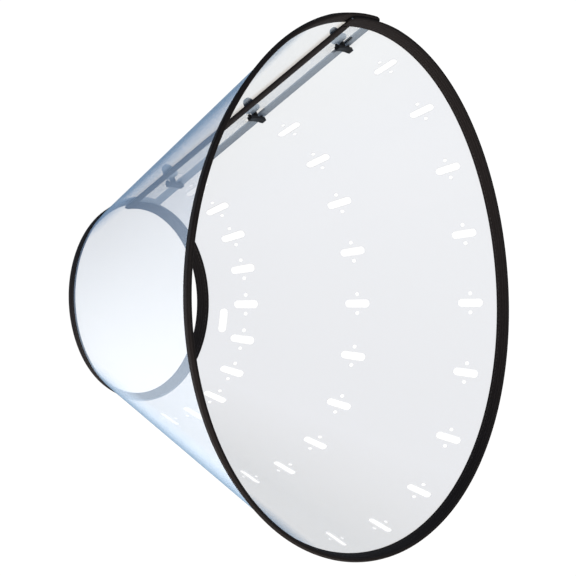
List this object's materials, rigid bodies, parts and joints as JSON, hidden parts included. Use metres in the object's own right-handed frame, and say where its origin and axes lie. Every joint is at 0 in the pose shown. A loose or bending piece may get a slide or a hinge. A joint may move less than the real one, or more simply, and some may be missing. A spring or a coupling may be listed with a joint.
{
  "type": "elizabethan collar",
  "caption": "Clear plastic pet recovery cone with black bound edges, fastening slots and twist locks in its overlap.",
  "frame": {"origin": "under the middle of the collar as it stands on the level underside of its neck ring with its mouth up", "axes": "+Z along the cone from the neck to the mouth, +X the way from the neck ring centre to the strap slot, so that the overlap with its locks is near +Y"},
  "size_m": [0.3834, 0.3843, 0.2202],
  "materials": {
    "clear_sheet": "clear, slightly milky extruded sheet with a cool tint where it is seen edge on",
    "binding_tape": "matt black ribbed woven tape, folded over the edge and sewn with black thread",
    "lock_plastic": "satin black moulded plastic"
  },
  "bodies": {
    "collar": {"cone_sheet": "clear_sheet", "rim_binding": "binding_tape", "neck_binding": "binding_tape", "inner_lap_binding": "binding_tape", "outer_lap_binding": "binding_tape"},
    "neck_lock": {"neck_lock_knob": "lock_plastic", "neck_lock_bar": "lock_plastic"},
    "middle_lock": {"middle_lock_knob": "lock_plastic", "middle_lock_bar": "lock_plastic"},
    "rim_lock": {"rim_lock_knob": "lock_plastic", "rim_lock_bar": "lock_plastic"}
  },
  "joints": [
    {"name": "neck_lock_turn", "type": "hinge", "parent": "collar", "child": "neck_lock", "pos_m": [-0.0137, 0.08347, 0.03541], "axis": [-0.1428, 0.859, -0.4916], "range_deg": [0, 90]},
    {"name": "middle_lock_turn", "type": "hinge", "parent": "collar", "child": "middle_lock", "pos_m": [-0.02053, 0.12775, 0.11476], "axis": [-0.1507, 0.8577, -0.4916], "range_deg": [0, 90]},
    {"name": "rim_lock_turn", "type": "hinge", "parent": "collar", "child": "rim_lock", "pos_m": [-0.02732, 0.17173, 0.19359], "axis": [-0.1547, 0.857, -0.4915], "range_deg": [0, 90]}
  ]
}
